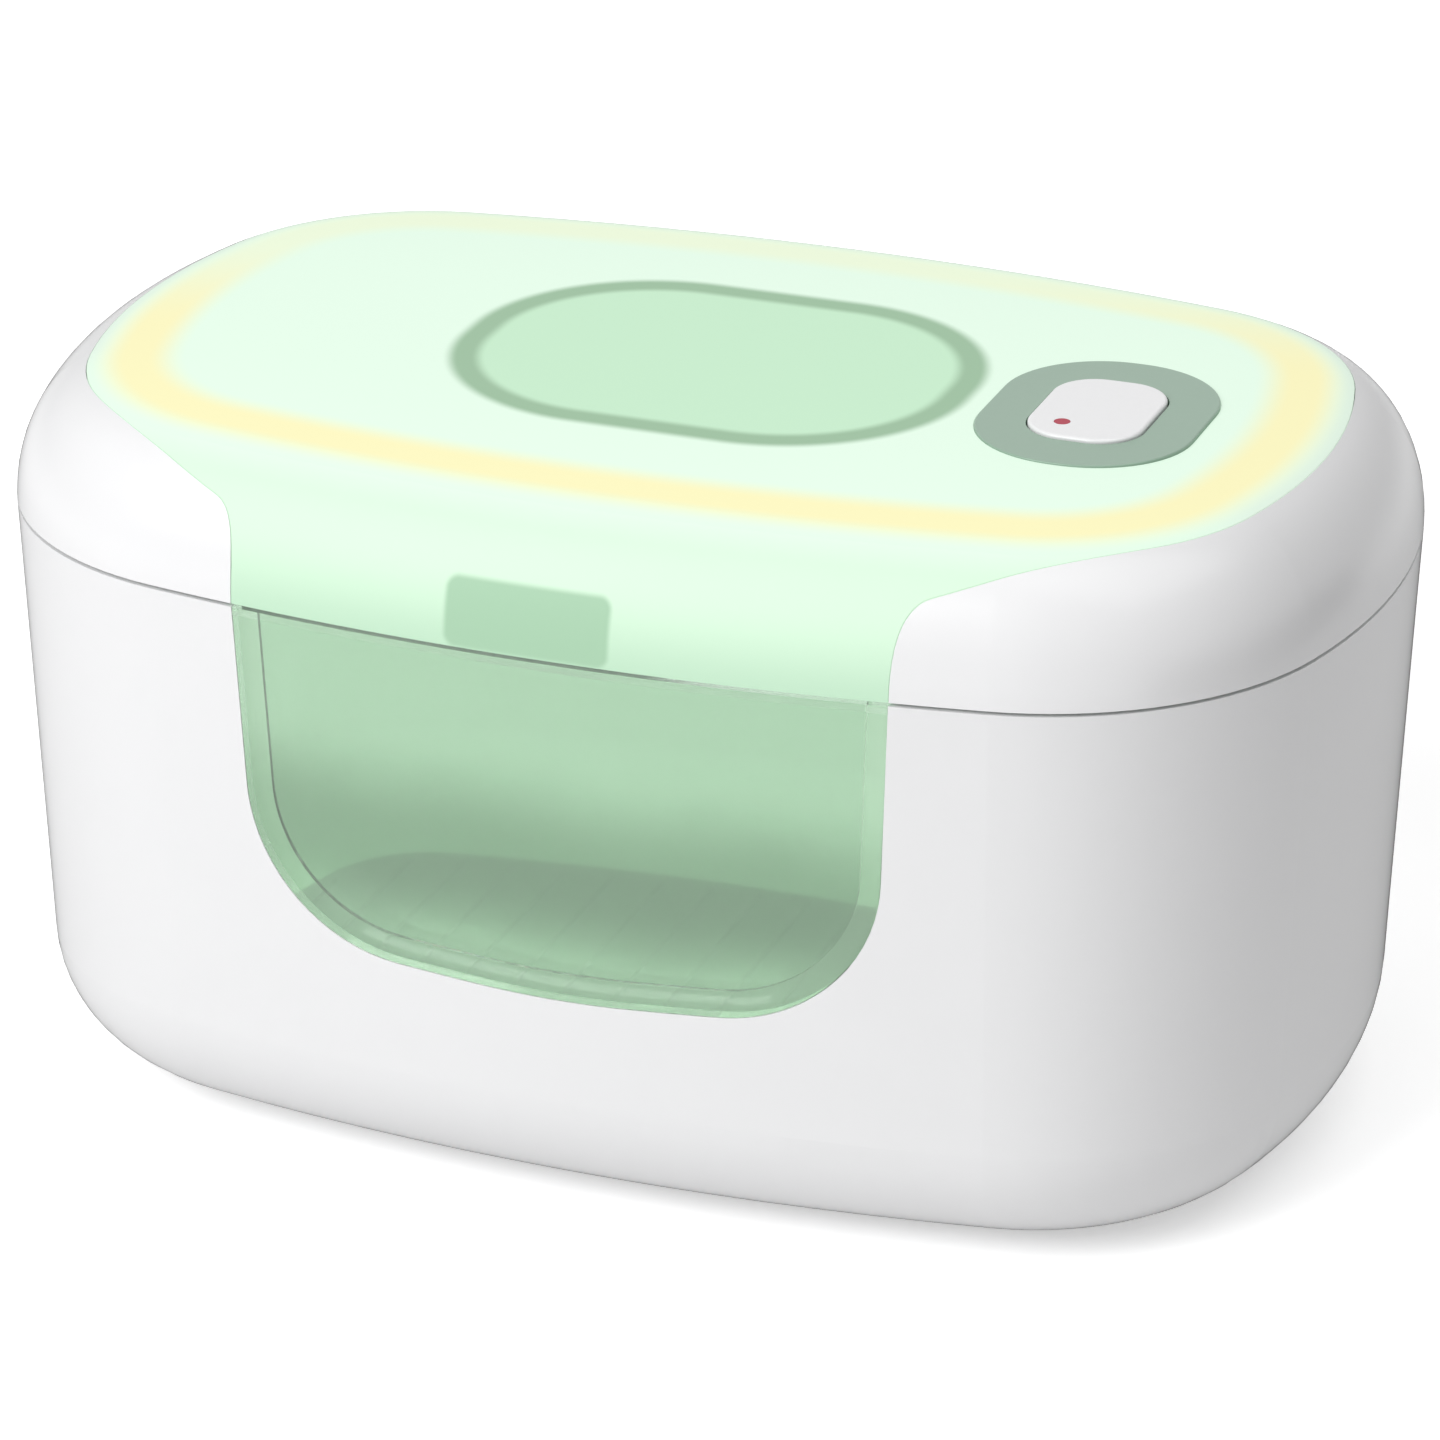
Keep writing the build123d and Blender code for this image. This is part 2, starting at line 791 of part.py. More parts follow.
def make_led_board():
    """Ring-shaped circuit strip under the light guide."""
    far = led_board_inset + led_board_width
    return ring(band(led_board_inset, far, led_board_bottom, led_board_top))


def led_places():
    """Plan points and turns of the lamps, evenly along each arc of the strip."""
    inset = led_board_inset + led_board_width / 2
    places = []
    for centre, radius, start, sweep in outline_arcs(inset):
        count = max(1, round(math.radians(sweep) * radius / led_spacing))
        for i in range(count):
            turn = start + sweep * (i + 0.5) / count
            a = math.radians(turn)
            point = Vector(centre[0] + radius * math.cos(a), centre[1] + radius * math.sin(a))
            places.append((point, turn))
    return places


def make_led_chips():
    """Small lamps on the strip."""
    middle = led_board_top + led_size[2] / 2
    chips = [Pos(p.X, p.Y, middle) * Rot(0, 0, turn + quarter_turn) * Box(*led_size)
             for p, turn in led_places()]
    return one(chips)


def make_control_board():
    """Circuit board under the power button."""
    face = rounded(board_width, board_depth, 2 * post_radius)
    return slab(Pos(control_x, control_y) * face, board_bottom, board_top)


def make_controller_chip():
    """Controller on the board."""
    x, y = control_x + board_width / 4, control_y + board_depth / 4
    return block_on(x, y, board_top, chip_size)


def make_tact_switch():
    """Switch body with a bore for its plunger."""
    size = (switch_size, switch_size, switch_height)
    body = block_on(control_x, control_y, board_top, size)
    deep = plunger_sunk + button_travel + fit_gap
    bore = plunger_radius + pin_gap
    return body - post(control_x, control_y, bore, switch_top - deep, switch_top + overrun)


def make_switch_plunger():
    """Plunger that the button's stem presses."""
    return post(control_x, control_y, plunger_radius, switch_top - plunger_sunk, plunger_top)


def make_status_led():
    """Small red lamp on the board."""
    return block_on(*lens_place, board_top, status_led_size)


def control_face(width, depth, radius, grow=0.0):
    """A rounded rectangle at the controls, grown by an amount."""
    place = Pos(control_x, control_y)
    return place * rounded(width + 2 * grow, depth + 2 * grow, radius + grow)


def bezel_outline(grow=0.0):
    """The bezel's outline in plan."""
    return control_face(bezel_width, bezel_depth, bezel_corner_radius, grow)


def button_outline(grow=0.0):
    """The button's outline in plan."""
    return control_face(button_width, button_depth, button_corner_radius, grow)


def make_control_bezel():
    """Grey-green frame, flush with the cover, flanged underneath."""
    bezel = slab(bezel_outline(), bezel_bottom, bezel_top)
    bezel = fillet(bezel.edges().group_by(Axis.Z)[-1], bezel_edge_round)
    bezel += slab(bezel_outline(bezel_flange), bezel_bottom, bezel_seat)
    bezel -= slab(button_outline(fit_gap), rim_under - overrun, bezel_top + overrun)
    room = button_outline(button_collar + fit_gap)
    return bezel - slab(room, bezel_bottom - overrun, rim_under)


def make_power_button():
    """Button cap with a collar that holds it under the bezel, and a stem."""
    cap = slab(button_outline(), collar_bottom, button_top)
    cap = fillet(cap.edges().group_by(Axis.Z)[-1], button_edge_round)
    cap += slab(button_outline(button_collar), collar_bottom, collar_top)
    hollow = button_outline(-button_cap_thickness)
    cap -= slab(hollow, collar_bottom - overrun, button_top - button_cap_thickness)
    high = button_top - button_cap_thickness / 2
    cap += post(control_x, control_y, stem_radius, plunger_top, high)
    room = lens_radius + pin_gap
    ends = collar_bottom - overrun, button_top + overrun
    return cap - post(*lens_place, room, *ends)


def make_status_lens():
    """Red light pipe through the button, clear of its lamp when pressed."""
    low = board_top + status_led_size[2] + button_travel + fit_gap
    return post(*lens_place, lens_radius, low, button_top)


def make_lid_liner():
    """Inner panel that closes the lid, with the heater's opening and its posts."""
    liner = plate(liner_inset, liner_bottom, liner_top)
    under = liner_bottom - overrun
    seat = liner_bottom + screw_head_height + glue_gap
    for p in boss_places:
        liner += post(p.X, p.Y, screw_pad_radius, liner_bottom, liner_pad_top)
        liner -= post(p.X, p.Y, screw_shank_radius + pin_gap, under, liner_pad_top + overrun)
        liner -= post(p.X, p.Y, screw_head_radius + glue_gap, under, seat)
    for p in post_places:
        liner += post(p.X, p.Y, post_radius, liner_bottom, led_board_bottom)
    reach_x = board_width / 2 - 2 * post_radius
    reach_y = board_depth / 2 - 2 * post_radius
    for x, y in at_corners(reach_x, reach_y):
        liner += post(control_x + x, control_y + y, post_radius, liner_bottom, board_bottom)
    for side in (-1, 1):
        x = side * (inlet_board_width / 2 - post_radius)
        liner += post(x, inlet_board_y, post_radius, liner_bottom, inlet_board_bottom)
    liner -= slab(oval(-heater_plate_lip), under, liner_top + overrun)
    return liner - catch_room()


def make_liner_screws():
    """Cross-head screws that hold the liner to the shell's bosses."""
    screws = []
    cross = Box(cross_length, cross_width, 2 * cross_depth)
    cross += Box(cross_width, cross_length, 2 * cross_depth)
    for p in boss_places:
        seat = liner_bottom + screw_head_height
        head = post(p.X, p.Y, screw_head_radius, liner_bottom, seat)
        shank = post(p.X, p.Y, screw_shank_radius, seat, seat + screw_length)
        screws.append(head + shank - Pos(p.X, p.Y, liner_bottom) * cross)
    return one(screws)


def make_lid_seal():
    """Soft ring under the liner that closes on the tub's flange."""
    low = flange_top + fit_gap
    return ring(band(seal_inset, seal_inset + seal_width, low, liner_bottom))


def catch_prism(grow=0.0):
    """The catch plate's outline, seen from the front, driven through the tongue."""
    low = lid_bottom + groove_gap
    high = low + catch_height
    width = catch_width + 2 * grow
    face = Rectangle(width, catch_height + 2 * grow)
    face = fillet(face.vertices().group_by(Axis.Y)[-1], catch_corner_radius)
    start = Plane.XZ.offset(half_depth / 2)
    face = start * Pos(catch_x, (low + high) / 2) * face
    return extrude(face, half_depth, dir=(0, -1, 0))


def catch_room():
    """The notch in the liner that clears the catch plate."""
    reach = catch_width / 2 + fit_gap
    deep = lid_wall + catch_plate_thickness + 3 * fit_gap
    return box((catch_x - reach, catch_x + reach),
               (-half_depth - overrun, deep - half_depth),
               (liner_bottom - overrun, liner_top + overrun))


def magnet_box(grow=0.0):
    """Low and high corners of the magnet in its holder."""
    near = lid_wall + catch_plate_thickness + magnet_wall
    reach = magnet_width / 2 + grow
    low = liner_top + magnet_wall
    return ((catch_x - reach, catch_x + reach),
            (near - grow - half_depth, near + magnet_depth + grow - half_depth),
            (low - grow, low + magnet_height))


def make_catch_plate():
    """Bare plate behind the tongue, with a cup for the magnet."""
    layer = lid_layer(lid_wall, catch_plate_thickness) & catch_prism()
    x, y, z = magnet_box()
    wall = magnet_wall
    near = lid_wall + catch_plate_thickness / 2 - half_depth
    cup = box((x[0] - wall, x[1] + wall), (near, y[1] + wall), (liner_top, z[1]))
    cup &= lid_inside(lid_wall + glue_gap)
    x, y, z = magnet_box(glue_gap)
    return layer + cup - box(x, y, (z[0], z[1] + overrun))


def make_catch_magnet():
    """Magnet that holds the lid shut."""
    return box(*magnet_box())


def inlet_face(grow=0.0):
    """The inlet's rounded mouth, on a plane across Y."""
    origin = (0, inlet_mouth_y - inlet_recess, inlet_z)
    mouth = Plane(origin=origin, x_dir=(1, 0, 0), z_dir=(0, -1, 0))
    size = inlet_width + 2 * grow, inlet_height + 2 * grow
    return mouth * RectangleRounded(*size, (inlet_height / 2 + grow) * inlet_roundness)


def make_power_inlet():
    """Metal socket shell, closed at its inner end."""
    shell = extrude(inlet_face(), inlet_length, dir=(0, -1, 0))
    return shell - extrude(inlet_face(-inlet_wall), inlet_length - inlet_wall * 2, dir=(0, -1, 0))


def make_inlet_tongue():
    """Contact tongue in the socket."""
    back = inlet_mouth_y - inlet_recess - inlet_length + inlet_wall * 2
    half_width, half_thick = inlet_tongue_width / 2, inlet_tongue_thickness / 2
    return box((-half_width, half_width), (back, back + inlet_tongue_length),
               (inlet_z - half_thick, inlet_z + half_thick))


def make_inlet_board():
    """Small board that carries the socket."""
    half = inlet_board_width / 2
    front = inlet_board_back_y - inlet_board_length
    return box((-half, half), (front, inlet_board_back_y), (inlet_board_bottom, inlet_board_top))


def lead(points):
    """A round lead through points, bent on arcs."""
    path = FilletPolyline(points, radius=lead_bend_radius)
    start = Plane(origin=path @ 0, z_dir=path % 0)
    return sweep(start * Circle(lead_radius), path)


def make_power_leads():
    """Two leads from the inlet's board to the control board."""
    level = board_top - board_thickness / 2
    low = inlet_board_top - inlet_board_thickness / 2
    front = inlet_board_back_y - inlet_board_length
    leads = []
    for i in range(2):
        step = i * lead_pitch
        x = lead_start_x + step
        far = control_x - lead_end_back + step
        y = lead_cross_y + step
        leads.append(lead([(x, front, low), (x, y, low), (far, y, level),
                           (far, control_y + board_depth / 2, level)]))
    return one(leads)


def make_heater_leads():
    """Two leads from the control board down to the film."""
    level = board_top - board_thickness / 2
    edge = control_x - board_width / 2
    down = oval_x + oval_reach - heater_lead_in
    return one([lead([(edge, y, level), (down, y, level), (down, y, film_top)])
                for y in (-lead_pitch / 2, lead_pitch / 2)])


def make_light_leads():
    """Two leads from the control board up to the light strip."""
    level = board_top - board_thickness / 2
    high = led_board_top - led_board_thickness / 2
    edge = control_x + board_width / 2
    far = half_length - led_board_inset - led_board_width
    bend = (edge + far) / 2
    end = far - glue_gap
    return one([lead([(edge, y, level), (bend, y, level), (bend, y, high), (end, y, high)])
                for y in (-lead_pitch / 2, lead_pitch / 2)])


pieces = {
    "outer_case": make_outer_case,
    "window_pane": make_window_pane,
    "window_seal": make_window_seal,
    "inner_tub": make_inner_tub,
    "catch_keeper": make_catch_keeper,
    "insulation_sleeve": make_insulation_sleeve,
    "floor_pad": make_floor_pad,
    "rubber_feet": make_rubber_feet,
    "hinge_pins": make_hinge_pins,
    "lid_shell": make_lid_shell,
    "top_cover": make_top_cover,
    "oval_ring": make_oval_ring,
    "heater_housing": make_heater_housing,
    "heater_plate": make_heater_plate,
    "heater_film": make_heater_film,
    "heater_foam": make_heater_foam,
    "temperature_sensor": make_temperature_sensor,
    "thermal_fuse": make_thermal_fuse,
    "light_guide": make_light_guide,
    "led_board": make_led_board,
    "led_chips": make_led_chips,
    "control_board": make_control_board,
    "controller_chip": make_controller_chip,
    "tact_switch": make_tact_switch,
    "switch_plunger": make_switch_plunger,
    "status_led": make_status_led,
    "control_bezel": make_control_bezel,
    "power_button": make_power_button,
    "status_lens": make_status_lens,
    "lid_liner": make_lid_liner,
    "liner_screws": make_liner_screws,
    "lid_seal": make_lid_seal,
    "catch_plate": make_catch_plate,
    "catch_magnet": make_catch_magnet,
    "power_inlet": make_power_inlet,
    "inlet_tongue": make_inlet_tongue,
    "inlet_board": make_inlet_board,
    "power_leads": make_power_leads,
    "heater_leads": make_heater_leads,
    "light_leads": make_light_leads,
}

os.makedirs("parts", exist_ok=True)
for name, make in pieces.items():
    export_step(frame_shift * make(), f"parts/{name}.step")
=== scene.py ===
"""Dresses the baby wipe warmer: finishes for its mouldings, its lit cover and its clear window."""

from __future__ import annotations

import json
import logging
import math
from dataclasses import dataclass
from enum import Enum
from typing import ClassVar

import bpy
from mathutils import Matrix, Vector

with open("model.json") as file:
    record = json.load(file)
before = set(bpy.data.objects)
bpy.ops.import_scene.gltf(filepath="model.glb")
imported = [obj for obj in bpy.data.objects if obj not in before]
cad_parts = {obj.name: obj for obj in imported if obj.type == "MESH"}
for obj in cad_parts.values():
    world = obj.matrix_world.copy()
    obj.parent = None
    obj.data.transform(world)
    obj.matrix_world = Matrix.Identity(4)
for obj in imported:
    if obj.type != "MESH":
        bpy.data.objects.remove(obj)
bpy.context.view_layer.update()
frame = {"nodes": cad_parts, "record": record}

LOG = logging.getLogger("wipe_warmer")
Colour = tuple[float, float, float]
Place = tuple[float, float, float]
Span = tuple[float, float]

MM = 0.001
WHITE: Colour = (1.0, 1.0, 1.0)
EVEN: Place = (1.0, 1.0, 1.0)
BRUSH_STRETCH: Place = (0.04, 1.0, 1.0)  # brush marks run along X
GRAIN_DETAIL = 3.0  # octaves in the grain of a skin
SCATTER_DEPTH = 2 * MM
SLANT_SHADE_BLUR = 0.3  # roughness of the grey coat that paints shade on slants
BACKGROUND_RAYS = ("Is Glossy Ray", "Is Transmission Ray")

# Sockets of the colour mix node and of the map range node.
MIX_SHARE, MIX_LOW, MIX_HIGH, MIX_RESULT = 0, 6, 7, 2
RANGE_IN, RANGE_FROM, RANGE_UPTO, RANGE_LOW, RANGE_HIGH = range(5)


def from_screen(red: int, green: int, blue: int) -> Colour:
    """Turns a colour as a screen shows it into the light it stands for.

    Args:
        red: red, 0 to 255.
        green: green, 0 to 255.
        blue: blue, 0 to 255.

    Returns:
        The linear colour.
    """

    def linear(value: int) -> float:
        """One channel of the colour, by the standard curve of screens."""
        share = value / 255
        return share / 12.92 if share <= 0.04045 else ((share + 0.055) / 1.055) ** 2.4

    return linear(red), linear(green), linear(blue)


class Grain(Enum):
    """How the skin of a moulding or a metal feels."""

    POLISHED = "polished"
    SATIN = "satin"
    SPARK = "spark"
    FOAM = "foam"
    BRUSHED = "brushed"


@dataclass(frozen=True)
class GrainSize:
    """The bump that a grain makes.

    Attributes:
        scale: noise scale, per metre.
        height: bump distance, in metres.
        strength: share of the bump used.
        variation: how much the colour wanders.
    """

    scale: float
    height: float
    strength: float
    variation: float


GRAINS: dict[Grain, GrainSize] = {
    Grain.POLISHED: GrainSize(60.0, 0.00002, 0.20, 0.010),
    Grain.SATIN: GrainSize(900.0, 0.00003, 0.25, 0.015),
    Grain.SPARK: GrainSize(2200.0, 0.00006, 0.35, 0.030),
    Grain.FOAM: GrainSize(1400.0, 0.00035, 0.60, 0.060),
    Grain.BRUSHED: GrainSize(1600.0, 0.00003, 0.30, 0.050),
}


class Sheet:
    """A material's node sheet, with short calls for the nodes that the finishes share."""

    def __init__(self, name: str) -> None:
        """Starts an empty sheet with one shader.

        Args:
            name: the material's name.
        """
        self.material = bpy.data.materials.new(name)
        self.material.use_nodes = True
        self.tree = self.material.node_tree
        self.shader = self.tree.nodes["Principled BSDF"]
        self.coords = self.tree.nodes.new("ShaderNodeTexCoord")

    def node(self, kind: str, **settings: object) -> bpy.types.Node:
        """Adds a node.

        Args:
            kind: the node's Blender type.
            **settings: properties to set on it.

        Returns:
            The new node.
        """
        made = self.tree.nodes.new(kind)
        for key, value in settings.items():
            setattr(made, key, value)
        return made

    def join(self, start: bpy.types.NodeSocket, end: bpy.types.NodeSocket) -> None:
        """Links two sockets."""
        self.tree.links.new(start, end)

    def set(self, **values: object) -> None:
        """Sets plain values on the shader's own sockets, named with underscores."""
        for key, value in values.items():
            socket = self.shader.inputs[key.replace("_", " ")]
            if hasattr(socket.default_value, "__len__") and len(socket.default_value) == 4:
                value = (*value, 1.0)
            socket.default_value = value

    def colour(self, tone: Colour) -> bpy.types.NodeSocket:
        """A plain colour source.

        Args:
            tone: the colour.

        Returns:
            Its output socket.
        """
        made = self.node("ShaderNodeRGB")
        made.outputs[0].default_value = (*tone, 1.0)
        return made.outputs[0]

    def blend(self, share: Field, low: bpy.types.NodeSocket,
              high: bpy.types.NodeSocket) -> bpy.types.NodeSocket:
        """Mixes two colours.

        Args:
            share: 0 for the first colour, 1 for the second.
            low: the first colour.
            high: the second colour.

        Returns:
            The mixed colour's socket.
        """
        mix = self.node("ShaderNodeMix", data_type="RGBA")
        self.join(share.socket, mix.inputs[MIX_SHARE])
        self.join(low, mix.inputs[MIX_LOW])
        self.join(high, mix.inputs[MIX_HIGH])
        return mix.outputs[MIX_RESULT]

    def scaled(self, tone: bpy.types.NodeSocket, share: float) -> bpy.types.NodeSocket:
        """Darkens a colour to a share of itself.

        Args:
            tone: the colour.
            share: how much of it is kept.

        Returns:
            The darker colour's socket.
        """
        made = self.node("ShaderNodeVectorMath", operation="SCALE")
        made.inputs["Scale"].default_value = share
        self.join(tone, made.inputs[0])
        return made.outputs[0]

    def darken_slants(self, kept: float) -> None:
        """Tints the clear coat grey, a painted shade that darkens the skin where it turns away.

        Args:
            kept: share of the light that the grey coat passes, seen square on.
        """
        self.set(Coat_Weight=1.0, Coat_IOR=1.0, Coat_Roughness=SLANT_SHADE_BLUR)
        self.set(Coat_Tint=(kept, kept, kept))

    def place(self) -> tuple[Field, Field, Field]:
        """The point's X, Y and Z in millimetres."""
        split = self.node("ShaderNodeSeparateXYZ")
        self.join(self.coords.outputs["Object"], split.inputs[0])
        return tuple(Field(self, out) * (1 / MM) for out in split.outputs)

    def noise(self, scale: float, detail: float = 4.0, stretch: Place = EVEN) -> Field:
        """Noise over the object.

        Args:
            scale: noise scale, per metre.
            detail: octaves of detail.
            stretch: how the noise is stretched along X, Y and Z.

        Returns:
            The noise, 0 to 1.
        """
        mapping = self.node("ShaderNodeMapping")
        mapping.inputs["Scale"].default_value = stretch
        self.join(self.coords.outputs["Object"], mapping.inputs[0])
        made = self.node("ShaderNodeTexNoise")
        made.inputs["Scale"].default_value = scale
        made.inputs["Detail"].default_value = detail
        self.join(mapping.outputs[0], made.inputs["Vector"])
        return Field(self, made.outputs[0])

    def grain(self, grain: Grain) -> Field:
        """Gives the shader a grain's bump.

        Args:
            grain: the skin wanted.

        Returns:
            The noise that made it, for the colour to follow.
        """
        size = GRAINS[grain]
        stretch = BRUSH_STRETCH if grain is Grain.BRUSHED else EVEN
        noise = self.noise(size.scale, GRAIN_DETAIL, stretch)
        bump = self.node("ShaderNodeBump")
        bump.inputs["Strength"].default_value = size.strength
        bump.inputs["Distance"].default_value = size.height
        self.join(noise.socket, bump.inputs["Height"])
        self.join(bump.outputs[0], self.shader.inputs["Normal"])
        return noise

    def paint(self, tone: bpy.types.NodeSocket) -> None:
        """Joins a colour to the shader's base colour."""
        self.join(tone, self.shader.inputs["Base Color"])

    def mottle(self, scale: float, low: float, high: float) -> None:
        """Paints the sheet in two close greys.

        Args:
            scale: noise scale, per metre.
            low: the darker grey.
            high: the lighter grey.
        """
        noise = self.noise(scale)
        self.paint(self.blend(noise, self.colour((low,) * 3), self.colour((high,) * 3)))


class Field:
    """A number that varies over a surface, worked out by math nodes."""

    def __init__(self, sheet: Sheet, socket: bpy.types.NodeSocket) -> None:
        """Wraps a socket.

        Args:
            sheet: the sheet that the socket is on.
            socket: the number's output socket.
        """
        self.sheet = sheet
        self.socket = socket

    def _math(self, operation: str, *others: Field | float) -> Field:
        """Adds one math node.

        Args:
            operation: the node's operation.
            *others: the further numbers.

        Returns:
            The result.
        """
        made = self.sheet.node("ShaderNodeMath", operation=operation)
        for i, value in enumerate((self, *others)):
            if isinstance(value, Field):
                self.sheet.join(value.socket, made.inputs[i])
            else:
                made.inputs[i].default_value = value
        return Field(self.sheet, made.outputs[0])

    def __add__(self, other: Field | float) -> Field:
        """The sum."""
        return self._math("ADD", other)

    def __sub__(self, other: Field | float) -> Field:
        """The difference."""
        return self._math("SUBTRACT", other)

    def __mul__(self, other: Field | float) -> Field:
        """The product."""
        return self._math("MULTIPLY", other)

    def __neg__(self) -> Field:
        """The number with its sign turned."""
        return self * -1.0

    def size(self) -> Field:
        """The number without its sign."""
        return self._math("ABSOLUTE")

    def at_least(self, other: Field | float) -> Field:
        """The larger of two numbers."""
        return self._math("MAXIMUM", other)

    def at_most(self, other: Field | float) -> Field:
        """The smaller of two numbers."""
        return self._math("MINIMUM", other)

    def root(self) -> Field:
        """The square root."""
        return self._math("SQRT")

    def above(self, limit: float) -> Field:
        """1 where the number is over a limit, otherwise 0."""
        return self._math("GREATER_THAN", limit)

    def step(self, start: float, end: float) -> Field:
        """A smooth rise from 0 to 1 between two values.

        Args:
            start: where it is 0.
            end: where it is 1.

        Returns:
            The rise.
        """
        made = self.sheet.node("ShaderNodeMapRange", interpolation_type="SMOOTHSTEP")
        self.sheet.join(self.socket, made.inputs[RANGE_IN])
        made.inputs[RANGE_FROM].default_value = min(start, end)
        made.inputs[RANGE_UPTO].default_value = max(start, end)
        made.inputs[RANGE_LOW].default_value = 0.0 if start < end else 1.0
        made.inputs[RANGE_HIGH].default_value = 1.0 if start < end else 0.0
        return Field(self.sheet, made.outputs[0])


def far(x: Field, y: Field) -> Field:
    """The length of a plan vector."""
    return (x * x + y * y).root()


@dataclass(frozen=True)
class RoundedBox:
    """A rounded rectangle, in millimetres.

    Attributes:
        across: middle along the first axis.
        up: middle along the second axis.
        length: full length along the first axis.
        width: full width along the second axis.
        radius: corner radius.
    """

    across: float
    up: float
    length: float
    width: float
    radius: float

    def outside(self, x: Field, y: Field) -> Field:
        """How far a point is outside the edge, negative inside.

        Args:
            x: the point along the first axis.
            y: the point along the second axis.

        Returns:
            The distance in millimetres.
        """
        over_x = (x - self.across).size() - (self.length / 2 - self.radius)
        over_y = (y - self.up).size() - (self.width / 2 - self.radius)
        corner = far(over_x.at_least(0.0), over_y.at_least(0.0))
        return corner + over_x.at_least(over_y).at_most(0.0) - self.radius


@dataclass(frozen=True)
class PlanOutline:
    """The body's plan where it is widest: eight tangent arcs, in millimetres.

    Attributes:
        length: full length.
        depth: full depth.
        front_radius: radius of the front and back arcs.
        end_radius: radius of the end arcs.
        corner_radius: radius of the corner arcs.
        middle_y: where the plan's middle lies along Y.
    """

    length: float = 230.0
    depth: float = 150.6
    front_radius: float = 411.0
    end_radius: float = 121.6
    corner_radius: float = 51.2
    middle_y: float = -1.6

    def corner(self) -> tuple[Vector, Vector, Vector]:
        """Centres of the back, right-hand end and corner arcs, in the quarter X > 0, Y > 0."""
        back = Vector((0.0, self.depth / 2 - self.front_radius))
        end = Vector((self.length / 2 - self.end_radius, 0.0))
        to_back = self.front_radius - self.corner_radius
        to_end = self.end_radius - self.corner_radius
        across = end - back
        along = (to_back**2 - to_end**2 + across.length_squared) / (2 * across.length)
        aside = math.sqrt(to_back**2 - along**2)
        unit = across.normalized()
        return back, end, back + unit * along + Vector((unit.y, -unit.x)) * aside

    def inset(self, x: Field, y: Field) -> Field:
        """How far a point lies inside the outline.

        Args:
            x: the point's X.
            y: the point's Y.

        Returns:
            The distance in millimetres.
        """
        back, end, corner = self.corner()
        x, y = x.size(), (y - self.middle_y).size()
        from_back = -far(x, y - back.y) + self.front_radius
        from_end = -far(x - end.x, y) + self.end_radius
        over_x, over_y = x - corner.x, y - corner.y
        from_corner = -far(over_x, over_y) + self.corner_radius
        toward_back, toward_end = (corner - back).normalized(), (corner - end).normalized()
        past_back = (over_x * toward_back.y - over_y * toward_back.x).above(0.0)
        past_end = (over_y * toward_end.x - over_x * toward_end.y).above(0.0)
        in_corner = past_back * past_end
        plain = from_back * (-past_back + 1.0) + from_end * (-past_end + 1.0) * past_back
        return from_corner * in_corner + plain


@dataclass(frozen=True)
class Finish:
    """A finish of one tone over a whole piece.

    Attributes:
        name: the material's name.
        tone: its colour.
        grain: the feel of its skin.
        roughness: how dull it is.
        metallic: 1 for metal.
        coat: share of clear gloss on top.
        scatter: share of light that spreads under the skin.
        glow: strength of its own light.
        slant: below 1, how much painted shade darkens the skin where it turns away.
    """

    name: str
    tone: Colour
    grain: Grain = Grain.SATIN
    roughness: float = 0.4
    metallic: float = 0.0
    coat: float = 0.0
    scatter: float = 0.0
    glow: float = 0.0
    slant: float = 1.0

    def material(self) -> bpy.types.Material:
        """Makes the finish's material.

        Returns:
            The material.
        """
        sheet = Sheet(self.name)
        wander = GRAINS[self.grain].variation
        noise = sheet.grain(self.grain)
        low = tuple(part * (1 - wander) for part in self.tone)
        high = tuple(min(1.0, part * (1 + wander)) for part in self.tone)
        tone = sheet.blend(noise, sheet.colour(low), sheet.colour(high))
        sheet.paint(tone)
        sheet.set(Roughness=self.roughness, Metallic=self.metallic, Coat_Weight=self.coat)
        if self.scatter:
            sheet.set(Subsurface_Weight=self.scatter, Subsurface_Radius=EVEN)
            sheet.set(Subsurface_Scale=SCATTER_DEPTH)
        if self.glow:
            sheet.join(tone, sheet.shader.inputs["Emission Color"])
            sheet.set(Emission_Strength=self.glow)
        # painted shade where the skin turns away, from a grey coat
        if self.slant < 1:
            sheet.darken_slants(self.slant)
        return sheet.material


